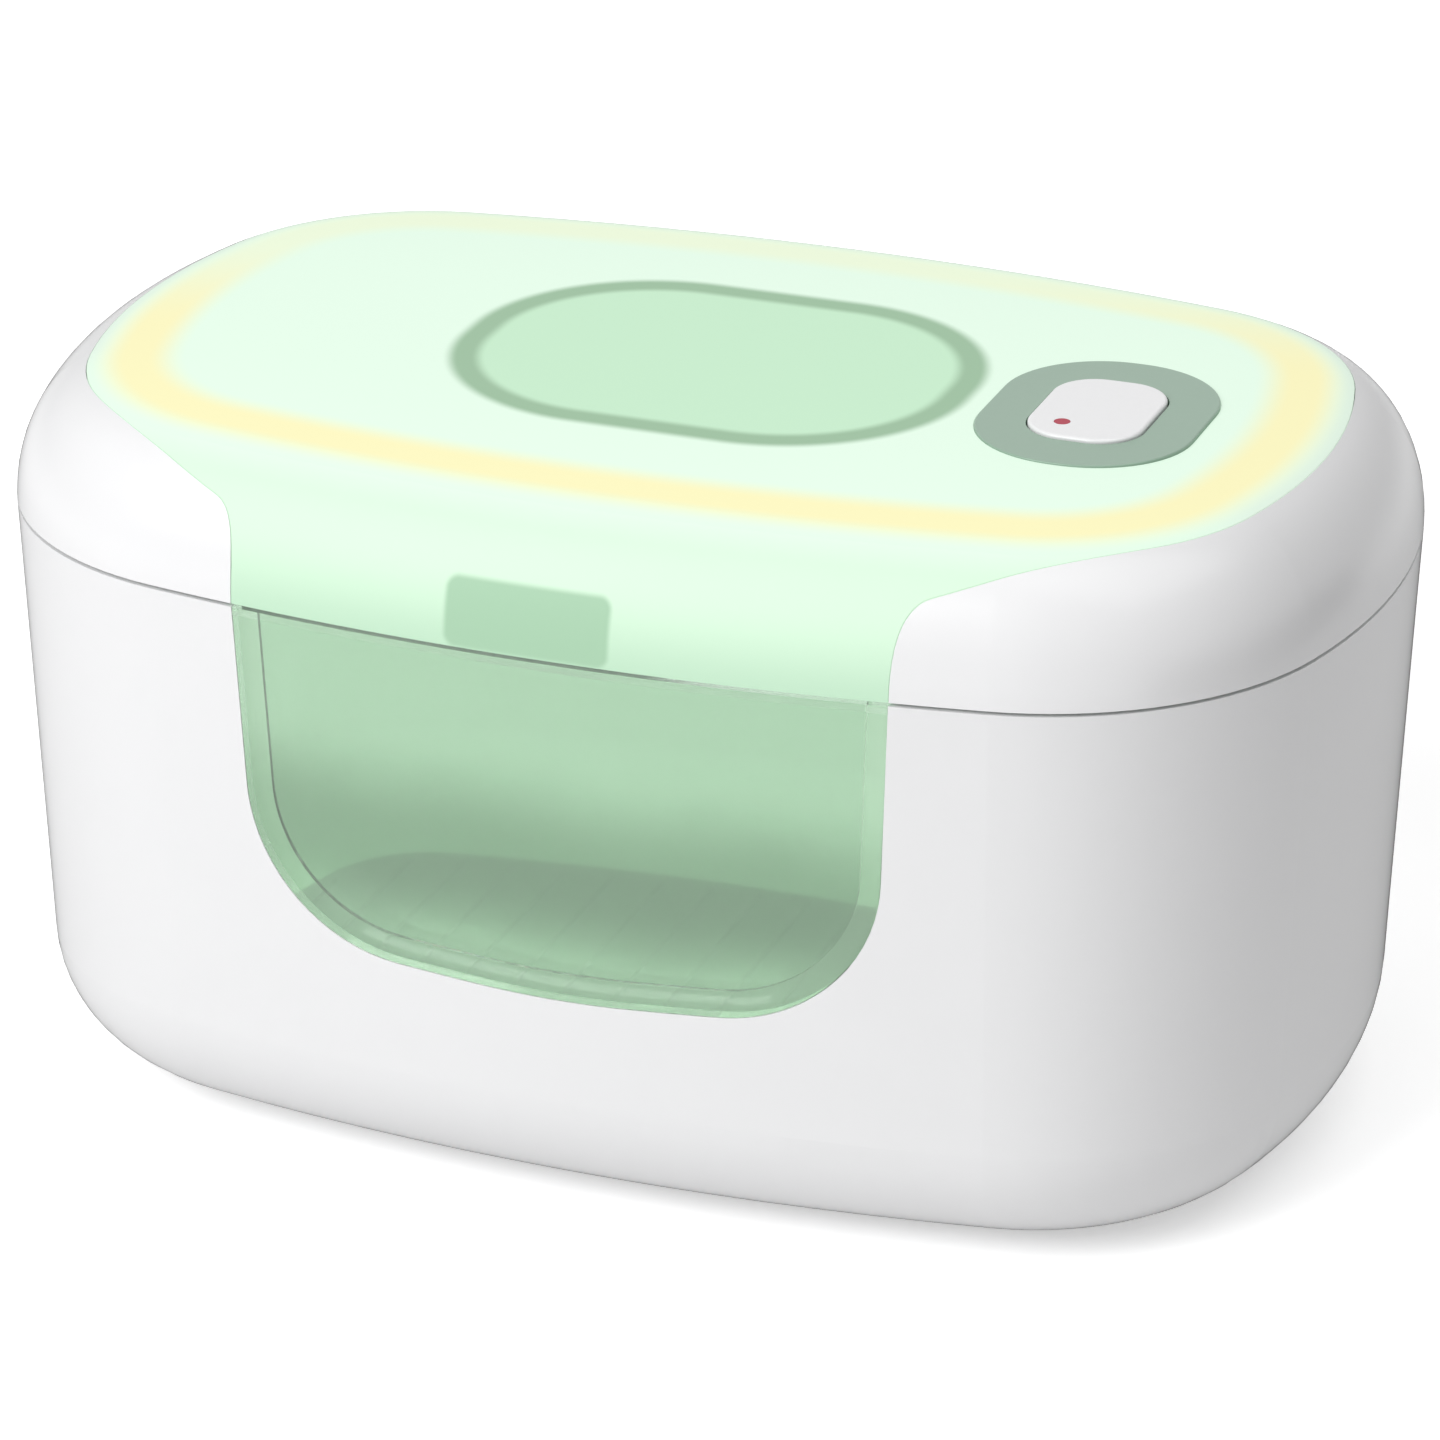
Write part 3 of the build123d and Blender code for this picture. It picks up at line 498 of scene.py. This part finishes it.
@dataclass(frozen=True)
class LitCover:
    """The frosted mint cover, with the night light and the heater showing through it.

    Attributes:
        name: the material's name.
        mint: the cover away from the light.
        shoulder: painted shade at the front, where the cover turns down.
        edge: painted shade along the cover's edge, away from the front.
        skirt: the foot of the front tongue.
        light: the painted glow of the night light, in a band over the light guide.
        oval: the inside of the oval window over the heater.
        rim: the oval's ring.
        badge: the catch plate, seen through the tongue.
        outline: the plan outline.
        ring: the oval's outer edge.
        ring_width: how wide the oval's ring is.
        plate: the catch plate's outline, in X and Z.
        light_rise: insets between which the lit band comes up.
        light_fall: insets between which it goes down again.
        shoulder_z: heights between which the shoulder's painted shade comes in.
        shoulder_y: places along Y between which it comes in.
        skirt_z: heights between which the skirt's tone comes in.
        edge_inset: insets between which the edge's painted shade comes in.
        edge_y: places along Y between which it comes in.
        plate_blur: how far inside and outside its outline the plate's edge is blurred.
        plate_front: the plate shows where the cover is further forward than this.
        back_slope: how far back the light's weakening starts, per millimetre of X.
        back_y: places along Y between which the light gains its full strength.
        back_share: strength of the light at the back, as a share.
        depth: share of the colour that the skin gives back.
        own_light: share of the colour that glows as painted light, shining through from inside.
        slant: how much painted shade darkens the skin where it turns away.
        softness: how far other edges are blurred by the frosting.
        roughness: how dull the skin is.
        gloss: how strongly it mirrors.
    """

    name: str = "mint_cover"
    mint: Colour = from_screen(231, 254, 235)
    shoulder: Colour = from_screen(216, 246, 219)
    edge: Colour = from_screen(226, 244, 228)
    skirt: Colour = from_screen(193, 228, 199)
    light: Colour = from_screen(251, 246, 192)
    oval: Colour = from_screen(199, 236, 204)
    rim: Colour = from_screen(154, 189, 157)
    badge: Colour = from_screen(168, 206, 174)
    outline: PlanOutline = PlanOutline()
    ring: RoundedBox = RoundedBox(0.0, -1.6, 87.4, 67.0, 31.0)
    ring_width: float = 4.7
    plate: RoundedBox = RoundedBox(-3.4, 106.1, 27.4, 11.0, 2.0)
    light_rise: Span = (12.5, 18.5)
    light_fall: Span = (22.0, 28.5)
    shoulder_z: Span = (123.0, 118.5)
    shoulder_y: Span = (-25.0, -48.0)
    skirt_z: Span = (113.0, 98.0)
    edge_inset: Span = (16.0, 11.5)
    edge_y: Span = (-45.0, -25.0)
    plate_blur: float = 0.6
    plate_front: float = 40.0
    back_slope: float = 0.24
    back_y: Span = (50.0, 5.0)
    back_share: float = 0.35
    depth: float = 0.5
    own_light: float = 0.56
    slant: float = 0.975
    softness: float = 1.3
    roughness: float = 0.55
    gloss: float = 0.35

    def material(self) -> bpy.types.Material:
        """Makes the cover's material.

        Returns:
            The material.
        """
        sheet = Sheet(self.name)
        sheet.grain(Grain.SATIN)
        x, y, z = sheet.place()
        inset = self.outline.inset(x, y)
        # painted shade on the front shoulder, where the cover turns down
        front = z.step(*self.shoulder_z) * y.step(*self.shoulder_y)
        tone = sheet.blend(front, sheet.colour(self.mint), sheet.colour(self.shoulder))
        tone = sheet.blend(z.step(*self.skirt_z), tone, sheet.colour(self.skirt))
        # painted shade along the cover's edge, away from the front
        rim = inset.step(*self.edge_inset) * y.step(*self.edge_y)
        tone = sheet.blend(rim, tone, sheet.colour(self.edge))
        blur = self.plate_blur
        plate = self.plate.outside(x, z).step(blur, -blur) * (-y).above(self.plate_front)
        tone = sheet.blend(plate, tone, sheet.colour(self.badge))
        # painted glow of the night light over the guide, weaker towards the back
        lit = inset.step(*self.light_rise) * inset.step(*reversed(self.light_fall))
        strength = (y - x * self.back_slope).step(*self.back_y)
        strength = strength * (1.0 - self.back_share) + self.back_share
        tone = sheet.blend(lit * strength, tone, sheet.colour(self.light))
        soft = self.softness
        oval = self.ring.outside(x, y)
        tone = sheet.blend(oval.step(soft, -soft), tone, sheet.colour(self.rim))
        inner = (oval + self.ring_width).step(soft, -soft)
        tone = sheet.blend(inner, tone, sheet.colour(self.oval))
        sheet.paint(sheet.scaled(tone, self.depth))
        # the cover's colour also glows as painted light
        sheet.join(tone, sheet.shader.inputs["Emission Color"])
        sheet.set(Roughness=self.roughness, Specular_IOR_Level=self.gloss)
        sheet.set(Emission_Strength=self.own_light)
        # painted shade where the cover turns away
        sheet.darken_slants(self.slant)
        return sheet.material


@dataclass(frozen=True)
class MilkyGreen:
    """Clear green plastic with a milky share, as the window and the tub have.

    Attributes:
        name: the material's name.
        low: its colour at the bottom.
        middle: its colour half way up, where the inside is in shade.
        high: its colour at the top, where more light comes in.
        lower: heights between which the bottom's colour turns into the middle's.
        upper: heights between which the middle's colour turns into the top's.
        clear: share of light that passes straight through.
        roughness: how much it blurs what is behind it.
        glow: how much the milky share lights up.
        bending: the plastic's index of refraction.
        cloud_scale: noise scale of the uneven heights, per metre.
        cloud_height: how uneven they are, in millimetres.
    """

    name: str
    low: Colour
    middle: Colour
    high: Colour
    lower: Span
    upper: Span
    clear: float
    roughness: float
    glow: float
    bending: float = 1.3
    cloud_scale: float = 40.0
    cloud_height: float = 6.0

    def material(self) -> bpy.types.Material:
        """Makes the plastic's material.

        Returns:
            The material.
        """
        sheet = Sheet(self.name)
        cloud = (sheet.noise(self.cloud_scale) - 0.5) * self.cloud_height
        height = sheet.place()[2] + cloud
        # painted shade half way up and painted light at the top
        tone = sheet.blend(height.step(*self.lower), sheet.colour(self.low),
                           sheet.colour(self.middle))
        tone = sheet.blend(height.step(*self.upper), tone, sheet.colour(self.high))
        sheet.paint(tone)
        sheet.join(tone, sheet.shader.inputs["Emission Color"])
        sheet.set(Roughness=self.roughness, Transmission_Weight=self.clear)
        sheet.set(IOR=self.bending, Emission_Strength=self.glow)
        return sheet.material


@dataclass(frozen=True)
class Silicone:
    """Milky silicone, which catches light round the window but not under the lid.

    Attributes:
        name: the material's name.
        tone: its colour.
        glow: how much it lights up round the window.
        lit_to: heights between which that light ends.
        scatter: share of light that spreads under the skin.
        roughness: how dull it is.
        shade: its darker tone, as a share of its colour.
    """

    name: str = "seal_silicone"
    tone: Colour = from_screen(214, 220, 214)
    glow: float = 0.3
    lit_to: Span = (100.0, 98.0)
    scatter: float = 0.3
    roughness: float = 0.55
    shade: float = 0.96

    def material(self) -> bpy.types.Material:
        """Makes the silicone's material.

        Returns:
            The material.
        """
        sheet = Sheet(self.name)
        noise = sheet.grain(Grain.SATIN)
        darker = tuple(part * self.shade for part in self.tone)
        tone = sheet.blend(noise, sheet.colour(darker), sheet.colour(self.tone))
        sheet.paint(tone)
        sheet.join(tone, sheet.shader.inputs["Emission Color"])
        # painted light where the seal shows in the window
        lit = sheet.place()[2].step(*self.lit_to) * self.glow
        sheet.join(lit.socket, sheet.shader.inputs["Emission Strength"])
        sheet.set(Roughness=self.roughness)
        sheet.set(Subsurface_Weight=self.scatter, Subsurface_Scale=SCATTER_DEPTH)
        return sheet.material


class Finishes:
    """Every finish of the warmer, by the name of its material slot."""

    def __init__(self) -> None:
        """Makes each material once."""
        plain = [
            # the white shell's slant paints shade where it turns away
            Finish("white_shell", from_screen(241, 241, 242), Grain.POLISHED, 0.28, slant=0.955),
            # window and tub: middle tones are painted shade; top tones and the tub's glow are
            # painted light
            MilkyGreen("green_clear", from_screen(232, 247, 234), from_screen(207, 220, 209),
                       from_screen(229, 241, 231), (42.0, 60.0), (65.0, 83.0), 0.94, 0.03, 0.02),
            MilkyGreen("tub_green", from_screen(211, 231, 213), from_screen(217, 234, 218),
                       from_screen(224, 238, 225), (45.0, 65.0), (65.0, 85.0), 0.88, 0.06, 0.19),
            Finish("green_ring", from_screen(168, 203, 175), Grain.SATIN, 0.4),
            Finish("housing_green", from_screen(190, 228, 196), Grain.SATIN, 0.45),
            Finish("bezel_grey", from_screen(145, 171, 153), Grain.SATIN, 0.35),
            Finish("button_grey", from_screen(238, 238, 239), Grain.SATIN, 0.3),
            Finish("lens_red", from_screen(152, 0, 44), Grain.POLISHED, 0.4, glow=0.22),
            Finish("liner_white", from_screen(232, 233, 232), Grain.SATIN, 0.35),
            # the pad's faint glow is painted light inside the shaded tub
            Finish("pad_grey", from_screen(150, 160, 152), Grain.SPARK, 0.6, glow=0.06),
            Finish("foam", from_screen(190, 196, 190), Grain.FOAM, 0.9),
            Finish("feet_rubber", from_screen(186, 188, 190), Grain.SPARK, 0.7),
            Finish("steel", (0.62, 0.62, 0.62), Grain.BRUSHED, 0.28, 1.0),
            Finish("aluminium", (0.52, 0.53, 0.54), Grain.BRUSHED, 0.5, 1.0),
            Finish("heater_amber", from_screen(176, 110, 40), Grain.POLISHED, 0.25),
            Finish("guide_milk", from_screen(250, 244, 226), Grain.SATIN, 0.35, scatter=0.4,
                   glow=0.3),
            Finish("board_white", from_screen(238, 238, 232), Grain.SATIN, 0.4),
            Finish("board_green", from_screen(40, 96, 62), Grain.SATIN, 0.35, coat=0.3),
            Finish("chip_black", from_screen(34, 34, 36), Grain.SPARK, 0.5),
            Finish("plunger_black", from_screen(30, 30, 30), Grain.SATIN, 0.4),
            Finish("lamp_warm", from_screen(255, 226, 150), Grain.SATIN, 0.3, glow=0.8),
            Finish("fuse_white", from_screen(226, 222, 212), Grain.SATIN, 0.4),
            Finish("lead_sleeve", from_screen(226, 226, 222), Grain.SATIN, 0.45),
        ]
        self.by_slot = {finish.name: finish.material() for finish in plain}
        self.by_slot["mint_cover"] = LitCover().material()
        self.by_slot["seal_silicone"] = Silicone().material()

    def dress(self, node: str) -> None:
        """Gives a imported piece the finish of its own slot.

        Args:
            node: the piece's name.
        """
        piece = frame["nodes"][node]
        for held in piece.material_slots:
            held.link = "OBJECT"
            held.material = self.by_slot[slot_of(node)]


def slot_of(node: str) -> str:
    """The material slot that the record gives a piece."""
    return next(row["material_slot"] for row in frame["record"]["subparts"] if row["node"] == node)


@dataclass
class Group:
    """A sub-assembly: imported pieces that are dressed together.

    Attributes:
        finishes: the finishes to dress them with.
    """

    finishes: Finishes
    nodes: ClassVar[tuple[str, ...]] = ()

    def build(self) -> None:
        """Dresses the group's pieces."""
        for node in self.nodes:
            self.finishes.dress(node)
            LOG.info("%s: dressed %s in %s", type(self).__name__, node, slot_of(node))


class Case(Group):
    """The white case on its rubber feet."""

    nodes = ("outer_case", "rubber_feet")


class Window(Group):
    """The green pane in the case's front, and its seal."""

    nodes = ("window_pane", "window_seal")


class Tub(Group):
    """The lift-out tub, its foam sleeve and its floor pad."""

    nodes = ("inner_tub", "insulation_sleeve", "floor_pad")


class Hinge(Group):
    """The two hinge pins."""

    nodes = ("hinge_pins",)


class Catch(Group):
    """The magnet catch: its plate, its magnet and the keeper."""

    nodes = ("catch_plate", "catch_magnet", "catch_keeper")


class LidSkin(Group):
    """The lid's white shoulder and its mint cover."""

    nodes = ("lid_shell", "top_cover")


class Heater(Group):
    """The heater under the oval."""

    nodes = ("oval_ring", "heater_housing", "heater_plate", "heater_film", "heater_foam",
             "temperature_sensor", "thermal_fuse")


class NightLight(Group):
    """The light guide with its strip of lamps."""

    nodes = ("light_guide", "led_board", "led_chips")


class Controls(Group):
    """The power button in its bezel, over the control board."""

    nodes = ("control_bezel", "power_button", "status_lens", "switch_plunger", "tact_switch",
             "status_led", "controller_chip", "control_board")


class Underside(Group):
    """The lid's inner panel, with its seal and screws."""

    nodes = ("lid_liner", "liner_screws", "lid_seal")


class Supply(Group):
    """The power inlet and the leads inside the lid."""

    nodes = ("power_inlet", "inlet_tongue", "inlet_board", "power_leads", "heater_leads",
             "light_leads")


def background_view(tree: bpy.types.NodeTree) -> bpy.types.NodeSocket:
    """Tells a look at the background from light on the warmer.

    Args:
        tree: the node tree to work in.

    Returns:
        A socket that is 1 for the camera, mirrors and clear plastic, otherwise 0.
    """
    path = tree.nodes.new("ShaderNodeLightPath")
    seen = path.outputs["Is Camera Ray"]
    for kind in BACKGROUND_RAYS:
        either = tree.nodes.new("ShaderNodeMath")
        either.operation = "MAXIMUM"
        tree.links.new(seen, either.inputs[0])
        tree.links.new(path.outputs[kind], either.inputs[1])
        seen = either.outputs[0]
    return seen


@dataclass(frozen=True)
class Lamp:
    """A square lamp that faces the warmer.

    Attributes:
        name: the lamp's name.
        place: where it hangs.
        size: its side.
        power: its power in watts.
        mirrored: whether glossy skins show it.
        aim: the point that it faces.
    """

    name: str
    place: Place
    size: float
    power: float
    mirrored: bool = True
    aim: Place = (0.0, 0.0, 0.06)

    def hang(self) -> None:
        """Adds the lamp to the scene."""
        light = bpy.data.lights.new(self.name, "AREA")
        light.size, light.energy = self.size, self.power
        lamp = bpy.data.objects.new(self.name, light)
        bpy.context.scene.collection.objects.link(lamp)
        lamp.location = self.place
        toward = Vector(self.aim) - Vector(self.place)
        lamp.rotation_euler = toward.to_track_quat("-Z", "Y").to_euler()
        lamp.visible_glossy = self.mirrored


@dataclass(frozen=True)
class Viewpoint:
    """The camera, from the right and above.

    Attributes:
        turn: how far it stands to the right, in degrees.
        rise: how far up, in degrees.
        reach: its distance from the middle.
        middle: the point that it circles.
        aside: how far it is then moved to its right.
        drop: how far it is then moved down.
        lens: focal length, in millimetres.
        film: the film's width, in millimetres.
    """

    turn: float = 20.81
    rise: float = 23.87
    reach: float = 1.0898
    middle: Place = (0.0, -0.0016, 0.0619)
    aside: float = 0.00027
    drop: float = 0.00225
    lens: float = 163.8
    film: float = 36.0

    def set_up(self) -> None:
        """Makes the camera and gives it to the scene."""
        turn, rise = math.radians(self.turn), math.radians(self.rise)
        level = math.cos(rise)
        away = Vector((math.sin(turn) * level, -math.cos(turn) * level, math.sin(rise)))
        side = Vector((math.cos(turn), math.sin(turn), 0))
        lens = bpy.data.cameras.new("camera")
        lens.lens, lens.sensor_width = self.lens, self.film
        camera = bpy.data.objects.new("camera", lens)
        bpy.context.scene.collection.objects.link(camera)
        camera.rotation_euler = (-away).to_track_quat("-Z", "Y").to_euler()
        camera.location = Vector(self.middle) + away * self.reach
        camera.location += side * self.aside - side.cross(-away) * self.drop
        bpy.context.scene.camera = camera


@dataclass(frozen=True)
class Studio:
    """The pale room that the warmer stands in, in metres.

    Attributes:
        floor_size: the floor's side.
        floor_z: the floor's height, just under the feet.
        floor_greys: the floor's darker and lighter grey.
        floor_grain: noise scale of the floor, per metre.
        floor_roughness: how dull the floor is.
        floor_lift: light that only the view of the floor gets, which makes it white.
        far_lift: what is added to it away from the warmer.
        far_floor: distances between which that comes in, in millimetres.
        card_place: middle of the dark card that shades the right-hand end.
        card_size: the card's height and width.
        card_greys: the card's darker and lighter grey.
        card_grain: noise scale of the card, per metre.
        sky_light: how much light the white surroundings give.
        lamps: the lamps.
        viewpoint: the camera.
    """

    floor_size: float = 12.0
    floor_z: float = -0.1 * MM
    floor_greys: Span = (0.86, 0.88)
    floor_grain: float = 30.0
    floor_roughness: float = 0.95
    floor_lift: float = 0.45
    far_lift: float = 0.6
    far_floor: Span = (330.0, 650.0)
    card_place: Place = (0.45, 0.05, 0.06)
    card_size: Span = (0.12, 0.7)
    card_greys: Span = (0.02, 0.03)
    card_grain: float = 20.0
    sky_light: float = 0.3
    lamps: tuple[Lamp, ...] = (
        Lamp("key", (-0.55, -1.05, 0.95), 0.9, 14.6),
        Lamp("top", (0.6, 0.0, 1.6), 1.4, 9.2),
        Lamp("back", (-0.35, 1.1, 0.1), 0.19, 3.2, mirrored=False),
    )
    viewpoint: Viewpoint = Viewpoint()

    def build(self) -> None:
        """Adds the floor, the sky, the card, the lamps and the camera."""
        self.floor()
        self.sky()
        self.card()
        for lamp in self.lamps:
            lamp.hang()
            LOG.info("Studio: hung the %s lamp", lamp.name)
        self.viewpoint.set_up()
        LOG.info("Studio: set up the camera")

    def floor(self) -> None:
        """Lays the pale floor, which keeps the warmer's shadow."""
        bpy.ops.mesh.primitive_plane_add(size=self.floor_size, location=(0, 0, self.floor_z))
        floor = bpy.context.object
        floor.name = "floor"
        sheet = Sheet("floor")
        sheet.mottle(self.floor_grain, *self.floor_greys)
        x, y, _ = sheet.place()
        lift = far(x, y).step(*self.far_floor) * self.far_lift + self.floor_lift
        glow = Field(sheet, background_view(sheet.tree)) * lift
        sheet.join(glow.socket, sheet.shader.inputs["Emission Strength"])
        sheet.set(Roughness=self.floor_roughness, Specular_IOR_Level=0.0, Emission_Color=WHITE)
        floor.data.materials.append(sheet.material)
        LOG.info("Studio: laid the floor")

    def card(self) -> None:
        """Stands a low dark card on the right, out of sight, to shade that end."""
        bpy.ops.mesh.primitive_plane_add(size=1.0, location=self.card_place,
                                         rotation=(0, math.pi / 2, 0))
        card = bpy.context.object
        card.name = "card"
        card.scale = (*self.card_size, 1.0)
        card.visible_camera = False
        sheet = Sheet("card")
        sheet.mottle(self.card_grain, *self.card_greys)
        sheet.set(Roughness=1.0, Specular_IOR_Level=0.0)
        card.data.materials.append(sheet.material)
        LOG.info("Studio: stood the dark card")

    def sky(self) -> None:
        """Surrounds the scene with white, dimmer as light than as a view."""
        world = bpy.data.worlds.new("sky")
        bpy.context.scene.world = world
        world.use_nodes = True
        tree = world.node_tree
        background = tree.nodes["Background"]
        strength = tree.nodes.new("ShaderNodeMapRange")
        strength.inputs[RANGE_LOW].default_value = self.sky_light
        strength.inputs[RANGE_HIGH].default_value = 1.0
        tree.links.new(background_view(tree), strength.inputs[RANGE_IN])
        tree.links.new(strength.outputs[0], background.inputs["Strength"])
        background.inputs["Color"].default_value = (1, 1, 1, 1)


GROUPS: tuple[type[Group], ...] = (Case, Window, Tub, Hinge, Catch, LidSkin, Heater, NightLight,
                                   Controls, Underside, Supply)


def main() -> None:
    """Dresses the sub-assemblies in order, then sets up the studio."""
    logging.basicConfig(level=logging.INFO, format="%(message)s")
    finishes = Finishes()
    for group in GROUPS:
        group(finishes).build()
    Studio().build()
    bpy.context.scene.view_settings.view_transform = "Standard"


if __name__ == "__main__":
    main()
